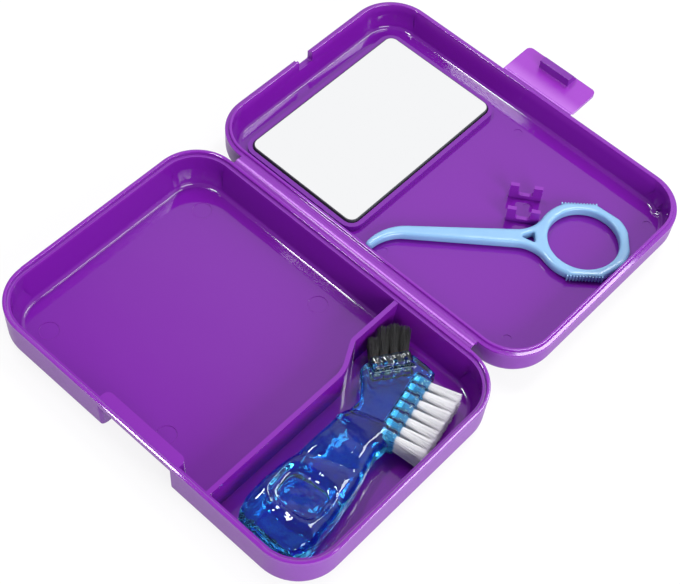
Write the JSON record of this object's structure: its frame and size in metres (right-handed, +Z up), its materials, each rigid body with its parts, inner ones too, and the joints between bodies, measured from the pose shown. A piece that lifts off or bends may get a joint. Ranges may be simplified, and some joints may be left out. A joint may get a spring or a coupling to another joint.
{
  "type": "retainer case",
  "caption": "Hinged plastic retainer case, opened flat, with divider, mirror, snap latch, aligner removal tool and denture brush.",
  "frame": {"origin": "centre of the base tray's underside", "axes": "+X along the hinge, +Y from the base tray to the opened lid, +Z up"},
  "size_m": [0.115, 0.1724, 0.016],
  "materials": {
    "case_plastic": "glossy inside, satin outside",
    "tape_foam": "matte",
    "mirror_coat": "mirror",
    "mirror_glass": "polished",
    "tool_plastic": "gloss",
    "brush_clear": "clear gloss",
    "bristle_white": "satin",
    "bristle_black": "satin",
    "anchor_metal": "satin"
  },
  "bodies": {
    "case_base": {"base_tray": "case_plastic", "hinge_film": "case_plastic"},
    "lid": {"lid_tray": "case_plastic", "mirror_tape": "tape_foam", "mirror_backing": "mirror_coat", "mirror_glass": "mirror_glass", "latch_film": "case_plastic"},
    "latch": {"latch_flap": "case_plastic"},
    "tool": {"removal_tool": "tool_plastic"},
    "brush": {"brush_handle": "brush_clear", "white_bristles": "bristle_white", "black_bristles": "bristle_black", "white_tuft_anchors": "anchor_metal", "black_tuft_anchors": "anchor_metal"}
  },
  "joints": [
    {"name": "lid_hinge", "type": "hinge", "parent": "case_base", "child": "lid", "pos_m": [0, 0.04075, 0.01305], "axis": [1, 0, 0], "range_deg": [0, 180], "deforming": ["hinge_film"]},
    {"name": "latch_hinge", "type": "hinge", "parent": "lid", "child": "latch", "pos_m": [0, 0.12115, 0.013], "axis": [1, 0, 0], "range_deg": [0, 90], "deforming": ["latch_film"]},
    {"name": "brush_lift", "type": "slide", "parent": "case_base", "child": "brush", "axis": [0, 0, 1], "range_m": [0, 0.06]},
    {"name": "tool_lift", "type": "slide", "parent": "lid", "child": "tool", "axis": [0, 0, 1], "range_m": [0, 0.06]}
  ]
}
